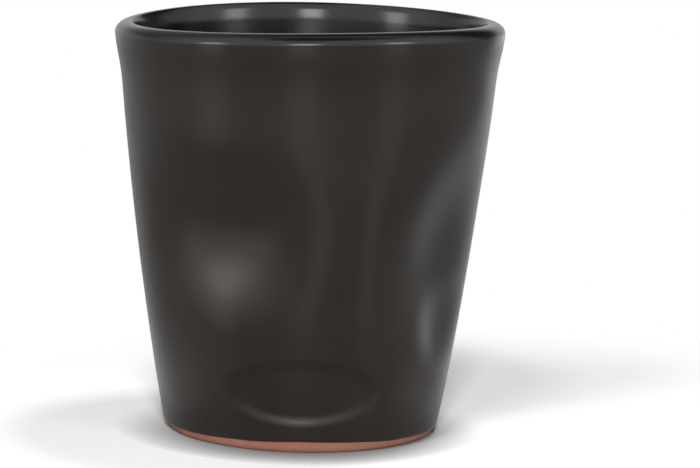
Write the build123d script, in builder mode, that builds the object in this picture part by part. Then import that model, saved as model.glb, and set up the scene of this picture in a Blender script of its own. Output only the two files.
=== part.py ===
"""Handle-less tumbler in red clay: slab base, pinched wall, corner coil and three coats of glaze.

Millimetres. The origin is the centre of the foot on the table, +Z is up and the front faces -Y.
"""

import os
from math import acos, cos, exp, radians, remainder, sin, tau

from build123d import *

# Outside form, measured over the glaze
cup_height = 85.0
rim_diameter = 80.0
foot_diameter = 56.4
belly_swell = 1.35  # how far the wall bows out at half height
lip_flare = 0.9  # how far the lip turns out
lip_flare_reach = 6.0  # how far below the lip the flare fades

# Clay
wall_thickness = 3.5
base_thickness = 5.0
foot_rounding = 1.2
lip_flat = 0.5  # width of the level crest that is left between the two rounded sides of the lip
coil_width = 6.0  # along the floor
coil_height = 7.0  # up the wall
coil_hollow = 1.3  # how far the coil's face is smoothed in

# Finger dimples: degrees from the front towards +X, height of the middle above the table,
# depth, height, and degrees of spread round the wall
dimples = (
    (-28.0, 44.5, 3.9, 44.0, 87.0),
    (57.5, 41.0, 4.2, 64.0, 86.0),
    (66.0, 23.0, 1.8, 28.0, 52.0),
    (147.0, 41.0, 3.6, 46.0, 78.0),
    (235.0, 39.0, 3.6, 46.0, 78.0),
)

# Glaze
glaze_thickness = 0.4
bond_gap = 0.02  # between a coat and the clay it lies on, and between wall and coil
bare_band = 2.2  # unglazed height at the foot
rim_drop = 1.2  # how far the glossy rim coat reaches below the lip's rounding

# Lofted sections
level_count = 13
below_lip_count = 3
lip_count = 5
ring_points = 24

# Levels above the table, and depths below the glazed surface
lip_level = cup_height - glaze_thickness - wall_thickness / 2
dip_level = lip_level - rim_drop
floor_level = base_thickness + glaze_thickness
inner_inset = glaze_thickness + wall_thickness
liner_inset = inner_inset + glaze_thickness


def spread(low, high, count):
    """Evenly spaced values from low to high."""
    return [low + (high - low) * step / (count - 1) for step in range(count)]


def bump(share):
    """Smooth rise: 1 in the middle, fading to 0 at a share of 1 either way."""
    return max(0, 1 - share**2) ** 3


def body_radius(z):
    """Glazed radius away from the dimples: a cone that bows out and flares at the lip."""
    level = min(z, lip_level)
    share = level / lip_level
    foot_radius = foot_diameter / 2
    cone = foot_radius + share * (rim_diameter / 2 - lip_flare - foot_radius)
    swell = belly_swell * 4 * share * (1 - share)
    return cone + swell + lip_flare * exp(-(((lip_level - level) / lip_flare_reach) ** 2))


def dimpling(angle, z):
    """How far the dimples press the wall in, at an angle from the front and a height."""
    pressed = 0.0
    for side, middle, depth, height, width in dimples:
        turn = remainder(angle - radians(side), tau)
        pressed += depth * bump(turn / radians(width / 2)) * bump((z - middle) / (height / 2))
    return pressed


def ring(z, inset):
    """Closed curve round the wall at one height and one depth below the glazed surface."""
    angles = spread(0, tau, ring_points + 1)
    points = []
    for angle in angles[:-1]:
        radius = body_radius(z) - inset - dimpling(angle, z)
        points.append((radius * sin(angle), -radius * cos(angle)))
    return Edge.make_spline(points, periodic=True, parameters=angles)


def band(heights, *insets):
    """Stations with the same depths at every height: one depth for a plug, two for a shell."""
    return [(z, *insets) for z in heights]


def lip(coat):
    """Stations from the dip line over the rounded lip, for the clay under a coat this thick."""
    outside = glaze_thickness - coat
    inside = inner_inset + coat
    stations = band(spread(dip_level, lip_level, below_lip_count), outside, inside)
    radius = wall_thickness / 2 + coat
    for turn in spread(0, acos(lip_flat / 2 / radius), lip_count)[1:]:
        drawn_in = radius * (1 - cos(turn))
        stations.append((lip_level + radius * sin(turn), outside + drawn_in, inside - drawn_in))
    return stations


def sections(stations):
    """Faces across the body, each at a height, with an outer depth and perhaps a hole."""
    faces = []
    for z, inset, *hole_insets in stations:
        with BuildSketch(Plane.XY.offset(z)) as section:
            with BuildLine():
                add(ring(z, inset))
            make_face()
            for hole_inset in hole_insets:
                with BuildLine():
                    add(ring(z, hole_inset))
                make_face(mode=Mode.SUBTRACT)
        faces.append(section.sketch)
    return faces


def coil_form(coat):
    """Ring in the inside corner: the clay coil, or its form under a coat that pools there."""
    low = base_thickness
    high = base_thickness + coil_height + 2 * coat
    corner = body_radius(low) - inner_inset
    toe = (corner - coil_width - 2 * coat, low)
    top = (body_radius(high) - inner_inset, high)
    behind = wall_thickness / 2
    with BuildPart() as form:
        with BuildSketch(Plane.XZ):
            with BuildLine():
                SagittaArc(toe, top, -coil_hollow)
                Polyline(top, (top[0] + behind, high), (corner + behind, low), toe)
            make_face()
        revolve(axis=Axis.Z)
    return form.part


levels = spread(base_thickness, dip_level, level_count)

# Slab that the cup stands on, rounded at its lower edge
with BuildPart() as base_disc:
    with BuildSketch(Plane.XZ) as slab:
        with BuildLine():
            low_edge = (body_radius(0) - glaze_thickness, 0)
            high_edge = (body_radius(base_thickness) - glaze_thickness, base_thickness)
            Polyline((0, 0), low_edge, high_edge, (0, base_thickness), close=True)
        make_face()
        fillet(slab.vertices().group_by(Axis.Y)[0].sort_by(Axis.X)[-1], foot_rounding)
    revolve(axis=Axis.Z)
base_disc.part.label = "base_disc"

# Rolled slab closed to a cone, pinched all round, with a rounded lip
with BuildPart() as clay_wall:
    loft(sections(band(levels, glaze_thickness, inner_inset)))
    loft(sections(lip(0)))
clay_wall.part.label = "clay_wall"

# Coil pressed into the corner between the wall and the base
with BuildPart() as corner_coil:
    add(coil_form(0))
    loft(sections(band(levels, inner_inset + bond_gap)), mode=Mode.INTERSECT)
corner_coil.part.label = "corner_coil"

# Satin coat outside, from the bare band up to the dip line
with BuildPart() as outer_glaze:
    loft(sections(band(levels, 0, glaze_thickness - bond_gap)))
    loft(sections(band((bare_band, base_thickness), 0, glaze_thickness - bond_gap)))
outer_glaze.part.label = "outer_glaze"

# Room inside the cup, down to the glazed floor and coil
with BuildPart() as cavity:
    loft(sections(band(levels, liner_inset)))
    split(bisect_by=Plane.XY.offset(floor_level), keep=Keep.TOP)
    add(coil_form(glaze_thickness), mode=Mode.SUBTRACT)

# Glossy coat inside, over the wall, the coil and the floor
with BuildPart() as liner_glaze:
    loft(sections(band(levels, inner_inset + bond_gap)))
    add(coil_form(bond_gap), mode=Mode.SUBTRACT)
    add(cavity.part, mode=Mode.SUBTRACT)
liner_glaze.part.label = "liner_glaze"

# Glossy coat over the lip, down to the dip line on both sides
with BuildPart() as rim_glaze:
    loft(sections(lip(glaze_thickness)))
    loft(sections(lip(bond_gap)), mode=Mode.SUBTRACT)
rim_glaze.part.label = "rim_glaze"

os.makedirs("parts", exist_ok=True)
for piece in (base_disc, clay_wall, corner_coil, outer_glaze, liner_glaze, rim_glaze):
    export_step(piece.part, f"parts/{piece.part.label}.step")
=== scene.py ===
from math import cos, pi, radians, sin, tau

import bpy
import numpy as np
from mathutils import Matrix, Vector


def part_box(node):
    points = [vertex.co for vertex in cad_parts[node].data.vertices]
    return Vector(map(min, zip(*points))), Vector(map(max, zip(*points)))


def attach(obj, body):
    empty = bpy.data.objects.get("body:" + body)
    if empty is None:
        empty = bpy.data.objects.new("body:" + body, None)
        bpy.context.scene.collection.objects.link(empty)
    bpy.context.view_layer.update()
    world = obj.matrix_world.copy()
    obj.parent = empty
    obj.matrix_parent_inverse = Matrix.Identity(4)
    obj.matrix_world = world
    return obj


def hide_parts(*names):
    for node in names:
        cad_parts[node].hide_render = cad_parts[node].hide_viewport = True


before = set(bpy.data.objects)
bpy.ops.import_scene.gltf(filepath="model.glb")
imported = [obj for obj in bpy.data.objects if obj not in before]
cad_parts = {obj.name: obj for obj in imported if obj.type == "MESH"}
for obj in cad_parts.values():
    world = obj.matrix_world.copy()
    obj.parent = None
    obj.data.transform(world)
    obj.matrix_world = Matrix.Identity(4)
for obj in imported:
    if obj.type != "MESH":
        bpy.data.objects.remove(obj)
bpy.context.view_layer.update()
print("frame: CAD nodes", sorted(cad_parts))

mm = 0.001
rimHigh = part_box("rim_glaze")[1]
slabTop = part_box("base_disc")[1].z

# Body of the cup, the same form as the CAD solids
cupForm = {
    "footRadius": 28.2 * mm,
    "rimRadius": rimHigh.x,
    "bellySwell": 1.35 * mm,  # bow of the wall at half height
    "lipFlare": 0.9 * mm,
    "flareReach": 6 * mm,  # how far below the lip the flare fades
    "straightTo": 12 * mm,  # the inner face leaves out the flare this far below the lip
    "parallelFrom": 45 * mm,  # and runs along the outside again from here down
    "wall": 3.5 * mm,
    "glaze": 0.4 * mm,
    "footRounding": 1.2 * mm,
}
coat = cupForm["glaze"]
claySide = coat + cupForm["wall"]  # depth of the clay's inner face below the outside
linerSide = claySide + coat
crest = rimHigh.z
lipLevel = crest - coat - cupForm["wall"] / 2

# Section of the lip: a full outer quarter, a narrow level crest and a slim inner quarter
lipForm = {
    "outerWidth": 2.8 * mm,
    "outerHeight": 2.2 * mm,
    "innerWidth": 1.1 * mm,
    "innerHeight": 3.6 * mm,
}

# Finger dimples: degrees from the front, then middle, depth and height in mm, then degrees of spread
dimples = (
    (-28, 44.5, 3.9, 44, 87),
    (57.5, 41, 4.2, 64, 86),
    (66, 23, 1.8, 28, 52),
    (147, 41, 3.6, 46, 78),
    (235, 39, 3.6, 46, 78),
)

# Unevenness left by the hands: size, waves round the wall, drift in radians per metre up, and start
handWaves = (
    (0.05 * mm, 3, 30, 0.4),
    (0.04 * mm, 5, -55, 1.9),
    (0.03 * mm, 9, 90, 3.1),
)

lipSway = {
    "mean": -0.20 * mm,
    "tilt": (0.70 * mm, 87),  # size, and the angle of the high side in degrees
    "saddle": (0.46 * mm, 13),
    "fadeFrom": 50 * mm,  # height at which the sway starts
}

ovalForm = {
    "height": 12.6 * mm,
    "halfWidth": 14.5 * mm,
    "halfHeight": 6.0 * mm,
    "depth": 0.6 * mm,
    "softness": 0.2,  # half the width of the step, as a share of the oval
}

meshing = {
    "columns": 400,
    "frontCrowding": 0.45,
    "sharpAngle": 40,  # degrees
}


def smoothStep(low, high, value):
    # cubic rise from 0 at low to 1 at high
    share = np.clip((value - low) / (high - low), 0, 1)
    return share * share * (3 - 2 * share)


def wrapped(angle):
    # the same angle, within half a turn either way
    return (angle + pi) % tau - pi


def bump(share):
    # one in the middle, (1 - s squared) cubed, nothing from s = 1 on
    return np.clip(1 - share**2, 0, None) ** 3


def ripples(waves, phi, z=0):
    # sum of sines round the wall that drift as they climb
    return sum(size * np.sin(count * phi + drift * z + start) for size, count, drift, start in waves)


def bodyRadius(z):
    # cone from foot to lip, bowed out by a parabola and flared by a bell curve under the lip
    level = np.minimum(z, lipLevel)
    share = level / lipLevel
    rise = cupForm["rimRadius"] - cupForm["lipFlare"] - cupForm["footRadius"]
    swell = cupForm["bellySwell"] * 4 * share * (1 - share)
    flare = cupForm["lipFlare"] * np.exp(-(((lipLevel - level) / cupForm["flareReach"]) ** 2))
    return cupForm["footRadius"] + share * rise + swell + flare


def footTuck(z):
    # quarter circle that draws the lower edge in
    size = cupForm["footRounding"]
    below = np.clip(size - z, 0, size)
    return size - np.sqrt(size**2 - below**2)


def dimpling(phi, z):
    # every dimple is one bump round the wall times one bump up the wall
    pressed = 0
    for side, middle, depth, tall, spread in dimples:
        turn = wrapped(phi - radians(side)) / radians(spread / 2)
        pressed = pressed + depth * mm * bump(turn) * bump((z - middle * mm) / (tall * mm / 2))
    return pressed


def ovalPress(phi, z):
    # plain oval: a soft step down at oval distance 1
    across = wrapped(phi) * bodyRadius(z) / ovalForm["halfWidth"]
    up = (z - ovalForm["height"]) / ovalForm["halfHeight"]
    outside = smoothStep(1 - ovalForm["softness"], 1 + ovalForm["softness"], np.hypot(across, up))
    return ovalForm["depth"] * (1 - outside)


def sway(phi):
    # lift of the lip: a tilt (one wave round) and a saddle (two waves round)
    tilt, tiltSide = lipSway["tilt"]
    saddle, saddleSide = lipSway["saddle"]
    return (
        lipSway["mean"]
        + tilt * np.cos(phi - radians(tiltSide))
        + saddle * np.cos(2 * (phi - radians(saddleSide)))
    )


def straightInside(z):
    # what the inner face gives back of the flare under the lip, fading out further down
    down = lipLevel - np.minimum(z, lipLevel)
    lost = cupForm["lipFlare"] * (1 - np.exp(-((down / cupForm["flareReach"]) ** 2)))
    return lost * (1 - smoothStep(cupForm["straightTo"], cupForm["parallelFrom"], down))


def onBody(phi, z, inset):
    # point at a height and a depth below the glazed outside: the body's radius and the hands' waves,
    # less every press and the depth, turned about the axis and lifted by the lip's sway
    inward = np.clip((inset - coat) / cupForm["wall"], 0, 1)
    pressed = footTuck(z) + dimpling(phi, z) + ovalPress(phi, z)
    radius = bodyRadius(z) + ripples(handWaves, phi, z) - pressed - inset + inward * straightInside(z)
    lift = sway(phi) * smoothStep(lipSway["fadeFrom"], lipLevel, z)
    return np.stack((radius * np.sin(phi), -radius * np.cos(phi), z + lift), axis=-1)


def column(values):
    # one value for each row of a grid
    return np.asarray(values, float)[:, None]


def columnAngles():
    # even steps, crowded towards the front by u - c sin u
    u = np.arange(meshing["columns"]) * tau / meshing["columns"]
    return u - meshing["frontCrowding"] * np.sin(u)


phi = columnAngles()[None, :]


def lipOver(deep, count):
    # two quarter ellipses at a depth under the glaze: heights and insets from the outside to the inside
    turn = column(np.linspace(0, pi / 2, count))
    outerZ = crest - lipForm["outerHeight"] + (lipForm["outerHeight"] - deep) * np.sin(turn)
    outerInset = deep + (lipForm["outerWidth"] - deep) * (1 - np.cos(turn))
    innerZ = crest - lipForm["innerHeight"] + (lipForm["innerHeight"] - deep) * np.cos(turn)
    innerInset = linerSide - deep - (lipForm["innerWidth"] - deep) * (1 - np.sin(turn))
    return np.concatenate((outerZ, innerZ)), np.concatenate((outerInset, innerInset))


def makePiece(name, points, poles=None):
    # rows of points round the axis: joined last to first, or ended by a pole below and one above
    rows, columns = points.shape[:2]
    corner = np.arange(rows * columns).reshape(rows, columns)
    nextColumn = np.roll(corner, -1, axis=1)
    if poles is None:
        low, lowNext = corner, nextColumn
        high, highNext = np.roll(corner, -1, axis=0), np.roll(nextColumn, -1, axis=0)
    else:
        low, lowNext, high, highNext = corner[:-1], nextColumn[:-1], corner[1:], nextColumn[1:]
    quads = np.stack((low, lowNext, highNext, high), axis=-1).reshape(-1, 4)
    loops = [quads.ravel()]
    sizes = [np.full(len(quads), 4)]
    vertices = points.reshape(-1, 3)
    if poles is not None:
        foot, top = len(vertices), len(vertices) + 1
        vertices = np.concatenate((vertices, np.asarray(poles, float)))
        under = np.stack((np.full(columns, foot), nextColumn[0], corner[0]), axis=-1)
        over = np.stack((corner[-1], nextColumn[-1], np.full(columns, top)), axis=-1)
        loops += [under.ravel(), over.ravel()]
        sizes += [np.full(2 * columns, 3)]
    loops = np.concatenate(loops)
    sizes = np.concatenate(sizes)
    mesh = bpy.data.meshes.new(name)
    mesh.vertices.add(len(vertices))
    mesh.vertices.foreach_set("co", vertices.ravel().astype(np.float32))
    mesh.loops.add(len(loops))
    mesh.loops.foreach_set("vertex_index", loops.astype(np.int32))
    mesh.polygons.add(len(sizes))
    mesh.polygons.foreach_set("loop_start", (np.cumsum(sizes) - sizes).astype(np.int32))
    mesh.update(calc_edges=True)
    mesh.shade_smooth()
    mesh.set_sharp_from_angle(angle=radians(meshing["sharpAngle"]))
    piece = bpy.data.objects.new(name, mesh)
    bpy.context.collection.objects.link(piece)
    print("piece:", name, len(sizes), "faces")
    return piece


def paintValue(piece, name, values):
    # one number for each point, for a material to read
    layer = piece.data.attributes.new(name, "FLOAT", "POINT")
    layer.data.foreach_set("value", values.astype(np.float32).ravel())


# Where the glaze ends above the foot: high at the front, low at the sides and behind
glazeLine = {
    "level": 1.15 * mm,
    "frontRise": 1.15 * mm,
    "frontAt": 2,  # degrees
    "frontWidth": 46,
    "ripples": ((0.06 * mm, 7, 0, 0.8), (0.036 * mm, 13, 0, 2.1)),
    "bead": 0.8 * mm,  # height over which the coat reaches its full thickness
}


def glazeEnd(phi):
    # bell curve at the front and two ripples
    turn = wrapped(phi - radians(glazeLine["frontAt"])) / radians(glazeLine["frontWidth"])
    front = glazeLine["frontRise"] * np.exp(-(turn**2))
    return glazeLine["level"] + front + ripples(glazeLine["ripples"], phi)


# Where the glossy dip over the lip ends, outside and inside
dipLine = {
    "outside": 2.9 * mm,  # below the crest
    "inside": 4.6 * mm,
    "ripples": ((0.08 * mm, 6, 0, 1.1),),
}


def dipEnd(phi, drop):
    # level line below the crest with one ripple
    return crest - drop + ripples(dipLine["ripples"], phi)


glazeLow = glazeEnd(phi)
dipOutside = dipEnd(phi, dipLine["outside"])
dipInside = dipEnd(phi, dipLine["inside"])

# Satin coat: up the outside from a rounded bead, then back down the clay
satinForm = {
    "outsideRows": 190,
    "claySideRows": 24,
    "rowCrowding": 1.35,
    "beadRounding": 0.98,  # at 1 the bead would close to nothing
    "lipBand": 2.2 * mm,  # height below the dip line over which the coat turns glossy
}


def crowdedRows(count):
    # zero to one, crowded towards zero by a power
    return column(np.linspace(0, 1, count) ** satinForm["rowCrowding"])


upward = glazeLow + (dipOutside - glazeLow) * crowdedRows(satinForm["outsideRows"])
downward = glazeLow + (dipOutside - glazeLow) * crowdedRows(satinForm["claySideRows"])[::-1]
edge = np.clip((upward - glazeLow) / glazeLine["bead"], 0, 1)
thickness = coat * np.sqrt(1 - satinForm["beadRounding"] * (1 - edge) ** 2)
satinCoat = makePiece(
    "satinCoat",
    np.concatenate((onBody(phi, upward, coat - thickness), onBody(phi, downward, coat))),
)
nearLip = smoothStep(dipOutside - satinForm["lipBand"], dipOutside, np.concatenate((upward, downward)))
paintValue(satinCoat, "nearLip", nearLip)

# Glossy coat over the lip: up, over, down inside, then back along the clay
rimForm = {"sideRows": 8, "arcRows": 26}
steps = column(np.linspace(0, 1, rimForm["sideRows"])[:-1])
climb = dipOutside + (crest - lipForm["outerHeight"] - dipOutside) * steps
innerClimb = dipInside + (crest - lipForm["innerHeight"] - dipInside) * steps
overZ, overInset = lipOver(0, rimForm["arcRows"])
underZ, underInset = lipOver(coat, rimForm["arcRows"])
rimCoat = makePiece(
    "rimCoat",
    np.concatenate((
        onBody(phi, climb, 0),
        onBody(phi, overZ, overInset),
        onBody(phi, innerClimb[::-1], linerSide),
        onBody(phi, innerClimb, claySide),
        onBody(phi, underZ[::-1], underInset[::-1]),
        onBody(phi, climb[::-1], coat),
    )),
)

# Glossy coat inside: under the floor, up the clay, then down the inner face, round the corner and in
linerForm = {
    "wallRows": 110,
    "backRows": 24,
    "cornerRows": 26,
    "floorRows": 16,
    "cornerReach": 9.5 * mm,  # from the corner along the floor and up the wall
}


def innerCorner(inset, floor, reach):
    # parabola between the two ends of the corner, level at the floor and leaning with the wall above
    t = column(np.linspace(0, 1, linerForm["cornerRows"]))
    topRadius = bodyRadius(floor + reach) - inset
    cornerRadius = bodyRadius(floor) - inset
    radius = (1 - t) ** 2 * topRadius + 2 * t * (1 - t) * cornerRadius + t**2 * (cornerRadius - reach)
    height = floor + (1 - t) ** 2 * reach
    return radius, height


def roundAxis(radius, height):
    # rings about the axis
    radius, height, turn = np.broadcast_arrays(radius, height, phi)
    return np.stack((radius * np.sin(turn), -radius * np.cos(turn), height), axis=-1)


def linerSkin(inset, floor, rows):
    # wall from the dip line down, the rounded corner, then the floor towards the middle
    reach = linerForm["cornerReach"]
    fall = dipInside + (floor + reach - dipInside) * column(np.linspace(0, 1, rows))
    cornerR, cornerZ = innerCorner(inset, floor, reach)
    inward = cornerR[-1] * column(np.linspace(1, 0, linerForm["floorRows"])[1:-1])
    return np.concatenate((
        onBody(phi, fall, inset),
        roundAxis(cornerR[1:], cornerZ[1:]),
        roundAxis(inward, floor),
    ))


glazedFloor = slabTop + coat
inside = linerSkin(linerSide, glazedFloor, linerForm["wallRows"])
behind = linerSkin(claySide, slabTop, linerForm["backRows"])
linerCoat = makePiece(
    "linerCoat",
    np.concatenate((behind[::-1], inside)),
    poles=((0, 0, slabTop), (0, 0, glazedFloor)),
)

# Clay wall, hidden under the coats: up the outside, over the lip, down inside
clayForm = {"sideRows": 60, "arcRows": 10}
steps = column(np.linspace(0, 1, clayForm["sideRows"])[:-1])
outerSide = slabTop + (crest - lipForm["outerHeight"] - slabTop) * steps
innerSide = slabTop + (crest - lipForm["innerHeight"] - slabTop) * steps[::-1]
lipZ, lipInset = lipOver(coat, clayForm["arcRows"])
clayWall = makePiece(
    "clayWall",
    np.concatenate((
        onBody(phi, outerSide, coat),
        onBody(phi, lipZ, lipInset),
        onBody(phi, innerSide, claySide),
    )),
)

# Slab that the cup stands on: flat underneath, rounded at the edge, bare up to the glaze
slabForm = {"flatRows": 24, "edgeRows": 16, "sideRows": 20}
turn = column(np.linspace(0, pi / 2, slabForm["edgeRows"]))
edgeZ = cupForm["footRounding"] * (1 - np.cos(turn))
sideZ = column(np.linspace(cupForm["footRounding"], slabTop, slabForm["sideRows"])[1:])
slabEdge = onBody(phi, np.concatenate((edgeZ, sideZ)), coat)
outward = column(np.linspace(0, 1, slabForm["flatRows"])[1:-1])[:, :, None]
slabMiddle = np.array((0, 0, slabTop))
footSlab = makePiece(
    "footSlab",
    np.concatenate((
        slabEdge[:1] * outward,
        slabEdge,
        slabMiddle + (slabEdge[-1:] - slabMiddle) * outward[::-1],
    )),
    poles=((0, 0, 0), slabMiddle),
)


class Wire:
    # an output socket whose sums and products add Math nodes
    def __init__(self, tree, socket=None):
        self.tree = tree
        self.socket = socket

    def node(self, kind, settings=None, inputs=None, output=0):
        made = self.tree.nodes.new(kind)
        for name, value in (settings or {}).items():
            setattr(made, name, value)
        for key, value in (inputs or {}).items():
            if isinstance(value, Wire):
                self.tree.links.new(value.socket, made.inputs[key])
            else:
                made.inputs[key].default_value = value
        return Wire(self.tree, made.outputs[output] if made.outputs else None)

    def math(self, operation, first, second=0):
        return self.node("ShaderNodeMath", {"operation": operation}, {0: first, 1: second})

    def __add__(self, other):
        return self.math("ADD", self, other)

    def __radd__(self, other):
        return self.math("ADD", other, self)

    def __sub__(self, other):
        return self.math("SUBTRACT", self, other)

    def __rsub__(self, other):
        return self.math("SUBTRACT", other, self)

    def __mul__(self, other):
        return self.math("MULTIPLY", self, other)

    def __rmul__(self, other):
        return self.math("MULTIPLY", other, self)

    def mixed(self, first, second):
        # this value blends two colours
        return self.node("ShaderNodeMix", {"data_type": "RGBA"}, {0: self, 6: first, 7: second}, 2)

    def ranged(self, low, high):
        # zero below low, one above high, smooth between
        return self.node(
            "ShaderNodeMapRange",
            {"interpolation_type": "SMOOTHSTEP"},
            {"Value": self, "From Min": low, "From Max": high},
        )


def startMaterial(name):
    # material with an empty node tree, and a wire to build in it
    material = bpy.data.materials.new(name)
    material.use_nodes = True
    material.node_tree.nodes.clear()
    return material, Wire(material.node_tree)


def noise(wire, place, scale, detail):
    return wire.node("ShaderNodeTexNoise", None, {"Vector": place, "Scale": scale, "Detail": detail})


def bumped(wire, look, relief):
    # normal that follows a relief
    inputs = {"Strength": look["bumpStrength"], "Distance": look["bumpDepth"], "Height": relief}
    return wire.node("ShaderNodeBump", None, inputs)


def finishSurface(wire, inputs):
    # one surface shader, wired to the material's output
    surface = wire.node("ShaderNodeBsdfPrincipled", None, inputs)
    wire.node("ShaderNodeOutputMaterial", None, {"Surface": surface})


ceramicIor = 1.5

satinLook = {
    "brown": (0.0104, 0.0066, 0.0046, 1),
    "dark": (0.0068, 0.0043, 0.0031, 1),
    "roughness": 0.30,
    "roughnessSpread": 0.04,
    "lipRoughness": 0.21,
    "tint": (1.0, 0.965, 0.91, 1),  # warm cast of the reflections
    "cloudNoise": (70, 3),  # scale and detail
    "cloudRange": (0.3, 0.7),
    "cloudShare": 0.7,  # of the mottling, the rest is grain
    "grainNoise": (900, 2),
    "grainRelief": 0.12,
    "swellNoise": (120, 0),  # slow rise and fall of the surface
    "bumpStrength": 0.1,
    "bumpDepth": 0.05 * mm,
}


def satinGlaze():
    # soft clouds and fine grain between two browns, smoother near the lip
    material, wire = startMaterial("satinGlaze")
    place = wire.node("ShaderNodeTexCoord", output="Object")
    cloud = noise(wire, place, *satinLook["cloudNoise"]).ranged(*satinLook["cloudRange"])
    grain = noise(wire, place, *satinLook["grainNoise"])
    mottling = cloud * satinLook["cloudShare"] + grain * (1 - satinLook["cloudShare"])
    nearLip = wire.node("ShaderNodeAttribute", {"attribute_name": "nearLip"}, output="Fac")
    roughness = satinLook["roughness"] + (cloud - 0.5) * satinLook["roughnessSpread"]
    roughness = roughness - nearLip * (satinLook["roughness"] - satinLook["lipRoughness"])
    relief = noise(wire, place, *satinLook["swellNoise"]) + grain * satinLook["grainRelief"]
    finishSurface(wire, {
        "Base Color": mottling.mixed(satinLook["dark"], satinLook["brown"]),
        "Roughness": roughness,
        "IOR": ceramicIor,
        "Specular Tint": satinLook["tint"],
        "Normal": bumped(wire, satinLook, relief),
    })
    return material


glossLook = {
    "black": (0.0035, 0.0030, 0.0032, 1),
    "brown": (0.0060, 0.0046, 0.0042, 1),
    "roughness": 0.19,
    "roughnessSpread": 0.04,
    "cloudNoise": (110, 3),  # scale and detail
    "cloudRange": (0.3, 0.7),
    "swellNoise": (150, 2),
    "bumpStrength": 0.1,
    "bumpDepth": 0.05 * mm,
}


def glossGlaze():
    # clouds between black and brown on a slightly uneven gloss
    material, wire = startMaterial("glossGlaze")
    place = wire.node("ShaderNodeTexCoord", output="Object")
    cloud = noise(wire, place, *glossLook["cloudNoise"]).ranged(*glossLook["cloudRange"])
    relief = noise(wire, place, *glossLook["swellNoise"])
    finishSurface(wire, {
        "Base Color": cloud.mixed(glossLook["black"], glossLook["brown"]),
        "Roughness": glossLook["roughness"] + (cloud - 0.5) * glossLook["roughnessSpread"],
        "IOR": ceramicIor,
        "Normal": bumped(wire, glossLook, relief),
    })
    return material


clayLook = {
    "red": (0.262, 0.106, 0.070, 1),
    "ochre": (0.278, 0.124, 0.078, 1),
    "grit": (0.14, 0.058, 0.040, 1),
    "gritShare": 0.35,  # how far a grain takes its own colour
    "gritScale": 900,
    "gritRange": (0.12, 0.3),
    "gritRelief": 0.5,
    "fineNoise": (1800, 3),  # scale and detail
    "fineRelief": 0.6,
    "cloudNoise": (90, 3),
    "cloudRange": (0.35, 0.65),
    "roughness": 0.82,
    "roughnessSpread": 0.12,
    "bumpStrength": 0.5,
    "bumpDepth": 0.08 * mm,
}


def bareClay():
    # clouds between red and ochre, with dark grains sunk in a fine open surface
    material, wire = startMaterial("bareClay")
    place = wire.node("ShaderNodeTexCoord", output="Object")
    cloud = noise(wire, place, *clayLook["cloudNoise"]).ranged(*clayLook["cloudRange"])
    fine = noise(wire, place, *clayLook["fineNoise"])
    grains = wire.node("ShaderNodeTexVoronoi", None, {"Vector": place, "Scale": clayLook["gritScale"]})
    grit = 1 - grains.ranged(*clayLook["gritRange"])
    body = cloud.mixed(clayLook["red"], clayLook["ochre"])
    relief = fine * clayLook["fineRelief"] - grit * clayLook["gritRelief"]
    finishSurface(wire, {
        "Base Color": (grit * clayLook["gritShare"]).mixed(body, clayLook["grit"]),
        "Roughness": clayLook["roughness"] + (fine - 0.5) * clayLook["roughnessSpread"],
        "IOR": ceramicIor,
        "Normal": bumped(wire, clayLook, relief),
    })
    return material


satin, gloss, clay = satinGlaze(), glossGlaze(), bareClay()
finishes = (
    (satinCoat, satin, "outer_glaze", "satin_black_glaze"),
    (rimCoat, gloss, "rim_glaze", "gloss_black_glaze"),
    (linerCoat, gloss, "liner_glaze", "gloss_black_glaze"),
    (clayWall, clay, "clay_wall", "terracotta"),
    (footSlab, clay, "base_disc", "terracotta"),
)
for piece, material, node, slotName in finishes:
    piece.data.materials.append(material)
    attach(piece, "root")
    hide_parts(node)
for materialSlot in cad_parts["corner_coil"].material_slots:
    materialSlot.material = clay
print("materials: satin, gloss and clay on", len(finishes), "pieces and the corner coil")

# Stage: pale floor that fades into a white room
floorForm = {
    "size": 12.0,
    "colour": 0.80,
    "white": 1.15,  # colour that brings the floor to white for the eye
    "fade": (92 * mm, 150 * mm),  # distances between which it turns to plain white
    "fadeAbout": (40 * mm, -30 * mm, 0),  # where they are measured from
    "contactReach": 11 * mm,  # how far the painted contact shadow round the foot spreads
    "contactLean": 60,  # degrees from upright to the back of the occlusion test that paints the shadow, as if from a soft light that the foot blocks
    "contactPower": 1.25,
}
# What reflections see of the floor: a dim gloss with a glow of its own
mirrorForm = {
    "colour": 0.08,
    "roughness": 0.2,
    "ior": 1.22,
    "glow": 0.30,
    "patchGlow": 0.40,  # more glow in a patch at the right that widens to the back
    "patchRight": (40 * mm, 80 * mm),
    "patchBack": (0, 60 * mm),
    "patchSlant": 0.7,  # how far to the right it widens on the way back
    "patchEnd": (70 * mm, 130 * mm),
    "stripGlow": 0.30,  # and in a strip close by on each side
    "stripStart": (30 * mm, 45 * mm),
    "stripEnd": (55 * mm, 90 * mm),
    "stripBack": (-45 * mm, -10 * mm),
}


def lightPath(wire, ray):
    return wire.node("ShaderNodeLightPath", output=ray)


def mirrorRay(wire):
    # one for what a reflection or a clear body sees
    return wire.math("MAXIMUM", lightPath(wire, "Is Glossy Ray"), lightPath(wire, "Is Transmission Ray"))


def along(wire, vector, axis):
    # how far a vector goes along X, Y or Z
    return wire.node("ShaderNodeSeparateXYZ", None, {0: vector}, axis)


def greyOf(wire, value):
    return wire.node("ShaderNodeCombineColor", None, {0: value, 1: value, 2: value})


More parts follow.
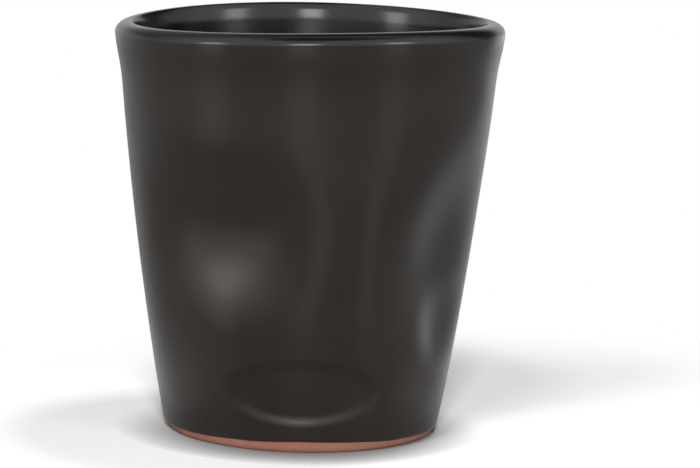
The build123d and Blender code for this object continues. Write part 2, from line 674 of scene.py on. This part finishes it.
def mattFloor(wire, place):
    # pale to light; to the eye white, with a painted contact shadow that darkens its colour near the
    # foot, as if the foot blocked light leaning in from behind
    seen = lightPath(wire, "Is Camera Ray")
    lean = radians(floorForm["contactLean"])
    # painted shadow: the occlusion darkens the floor's colour for the eye; no lamp casts it
    openness = wire.node("ShaderNodeAmbientOcclusion", None, {
        "Distance": floorForm["contactReach"],
        "Normal": wire.node("ShaderNodeCombineXYZ", None, {1: sin(lean), 2: cos(lean)}),
    }, "AO")
    lit = wire.math("POWER", openness, floorForm["contactPower"]) * floorForm["white"]
    shade = floorForm["colour"] + seen * (lit - floorForm["colour"])
    diffuse = wire.node("ShaderNodeBsdfDiffuse", None, {"Color": greyOf(wire, shade)})
    white = wire.node("ShaderNodeEmission", None, {"Color": (1, 1, 1, 1), "Strength": 1.0})
    ends = {0: place, 1: floorForm["fadeAbout"]}
    away = wire.node("ShaderNodeVectorMath", {"operation": "DISTANCE"}, ends, "Value")
    fade = away.ranged(*floorForm["fade"]) * seen
    return wire.node("ShaderNodeMixShader", None, {0: fade, 1: diffuse, 2: white})


def mirrorFloor(wire, place):
    # even glow, with a patch and two strips added as products of smooth steps
    right, back = along(wire, place, 0), along(wire, place, 1)
    patch = right.ranged(*mirrorForm["patchRight"]) * back.ranged(*mirrorForm["patchBack"])
    patch = patch * (1 - (right - back * mirrorForm["patchSlant"]).ranged(*mirrorForm["patchEnd"]))
    aside = wire.math("ABSOLUTE", right)
    strip = aside.ranged(*mirrorForm["stripStart"]) * (1 - aside.ranged(*mirrorForm["stripEnd"]))
    strip = strip * back.ranged(*mirrorForm["stripBack"])
    glow = mirrorForm["glow"] + patch * mirrorForm["patchGlow"] + strip * mirrorForm["stripGlow"]
    grey = mirrorForm["colour"]
    return wire.node("ShaderNodeBsdfPrincipled", None, {
        "Base Color": (grey, grey, grey, 1),
        "Roughness": mirrorForm["roughness"],
        "IOR": mirrorForm["ior"],
        "Emission Color": greyOf(wire, glow),
        "Emission Strength": 1.0,
    })


def paleFloor():
    # matt to light and to the eye, the dim gloss to reflections
    material, wire = startMaterial("paleFloor")
    place = wire.node("ShaderNodeTexCoord", output="Object")
    sides = {0: mirrorRay(wire), 1: mattFloor(wire, place), 2: mirrorFloor(wire, place)}
    both = wire.node("ShaderNodeMixShader", None, sides)
    wire.node("ShaderNodeOutputMaterial", None, {"Surface": both})
    return material


half = floorForm["size"] / 2
corners = [(-half, -half, 0), (half, -half, 0), (half, half, 0), (-half, half, 0)]
floorMesh = bpy.data.meshes.new("floor")
floorMesh.from_pydata(corners, [], [(0, 1, 2, 3)])
floorMesh.materials.append(paleFloor())
floor = bpy.data.objects.new("floor", floorMesh)
bpy.context.collection.objects.link(floor)

# Room: its levels, and where each of its parts starts and is full, as numbers of the unit direction
roomForm = {
    "frontWall": 1.22,
    "backWall": 0.66,
    "wallTurn": (-0.2, 0.3),  # from the front wall to the back wall
    "highShade": 0.6,  # dims the back wall higher up
    "highBack": (0.2, 0.5),
    "highUp": (0.2, 0.42),
    "patch": 0.10,  # dark patch overhead
    "patchUp": (0.78, 0.94),
    "patchRight": (-0.45, -0.15),
    "patchEnd": (0.05, 0.3),
    "cornerShade": 0.85,  # dims the upper corner behind at the right
    "cornerSlant": 0.8,
    "cornerUp": (0.56, 0.66),
    "cornerBack": (0.3, 0.6),
    "fill": 0.08,  # share of the room that lights matt surfaces
}


def studioRoom():
    # white to the eye; to light and reflections two bright walls, a dark patch overhead and a dim corner
    world = bpy.data.worlds.new("studio")
    world.use_nodes = True
    world.node_tree.nodes.clear()
    wire = Wire(world.node_tree)
    towards = wire.node("ShaderNodeTexCoord", output="Generated")
    right, back, up = (along(wire, towards, axis) for axis in range(3))
    turned = back.ranged(*roomForm["wallTurn"])
    wall = roomForm["frontWall"] + turned * (roomForm["backWall"] - roomForm["frontWall"])
    high = back.ranged(*roomForm["highBack"]) * up.ranged(*roomForm["highUp"])
    wall = wall * (1 - high * roomForm["highShade"])
    patch = up.ranged(*roomForm["patchUp"]) * right.ranged(*roomForm["patchRight"])
    patch = patch * (1 - back.ranged(*roomForm["patchEnd"]))
    corner = (up + right * roomForm["cornerSlant"]).ranged(*roomForm["cornerUp"])
    corner = corner * back.ranged(*roomForm["cornerBack"])
    room = (wall + patch * (roomForm["patch"] - wall)) * (1 - corner * roomForm["cornerShade"])
    room = room * (roomForm["fill"] + mirrorRay(wire) * (1 - roomForm["fill"]))
    level = room + lightPath(wire, "Is Camera Ray") * (1 - room)
    background = wire.node("ShaderNodeBackground", None, {"Color": (1, 1, 1, 1), "Strength": level})
    wire.node("ShaderNodeOutputWorld", None, {"Surface": background})
    return world


bpy.context.scene.world = studioRoom()

lampDistance = 1.2
# Lamps that show in the glaze: name, degrees from the camera's side towards +X, degrees up, then
# width, height and watts
softboxes = (
    ("leftBox", -60, 14, 0.3, 0.42, 1.74),
    ("middleBox", -2, 16, 0.3, 0.32, 2.2),
    ("rightBox", 53, 17, 0.3, 0.42, 1.76),
)
# Lamps that only light matt surfaces, with the same numbers
floorLamps = (
    ("frontLamp", 0, 25, 0.2, 0.2, 8.1),
    ("middleLamp", -15, 55, 0.2, 0.2, 2.7),
    ("leftLamp", -30, 45, 0.2, 0.2, 3.05),
    ("rightLamp", 120, 75, 0.2, 0.2, 4.0),
)
shot = {
    "aim": Vector((0, 0, 42 * mm)),
    "distance": 0.691,
    "elevation": 8.6,  # degrees
    "roll": 1.46,
    "pixelsPerMetre": 4834,  # at the aim point
    "frameSize": (700, 468),
    "aimPixel": (305.5, 225.4),
    "sensor": 36,
}


def awayFrom(point, azimuth, elevation, distance):
    # point at a distance, turned from the front towards +X and raised
    turn, rise = radians(azimuth), radians(elevation)
    return point + distance * Vector((cos(rise) * sin(turn), -cos(rise) * cos(turn), sin(rise)))


def addLamp(name, azimuth, elevation, width, height, watts):
    # area lamp that faces the aim point
    data = bpy.data.lights.new(name, "AREA")
    data.shape = "RECTANGLE"
    data.size = width
    data.size_y = height
    data.energy = watts
    lamp = bpy.data.objects.new(name, data)
    lamp.location = awayFrom(shot["aim"], azimuth, elevation, lampDistance)
    lamp.rotation_euler = (shot["aim"] - lamp.location).to_track_quat("-Z", "Y").to_euler()
    lamp.visible_camera = False
    bpy.context.collection.objects.link(lamp)
    return lamp


for softbox in softboxes:
    addLamp(*softbox)
for floorLamp in floorLamps:
    addLamp(*floorLamp).visible_glossy = False
print("stage: floor, white room and", len(softboxes) + len(floorLamps), "lamps")

# Camera: turned so that the aim point falls on its pixel, then rolled about it
focal = shot["pixelsPerMetre"] * shot["distance"]
frameWidth, frameHeight = shot["frameSize"]
pixelAcross, pixelDown = shot["aimPixel"]
eye = awayFrom(shot["aim"], 0, shot["elevation"], shot["distance"])
look = (shot["aim"] - eye).to_track_quat("-Z", "Y").to_matrix()
roll = Matrix.Rotation(radians(shot["roll"]), 3, "Z")
toPixel = Vector((pixelAcross - frameWidth / 2, frameHeight / 2 - pixelDown, -focal))
offAxis = toPixel.rotation_difference(Vector((0, 0, -1))).to_matrix()
cameraData = bpy.data.cameras.new("camera")
cameraData.sensor_width = shot["sensor"]
cameraData.lens = focal * shot["sensor"] / frameWidth
camera = bpy.data.objects.new("camera", cameraData)
camera.matrix_world = Matrix.Translation(eye) @ (look @ roll @ offAxis).to_4x4()
bpy.context.collection.objects.link(camera)
bpy.context.scene.camera = camera
bpy.context.scene.view_settings.view_transform = "Standard"
print("camera: lens", round(cameraData.lens, 1))
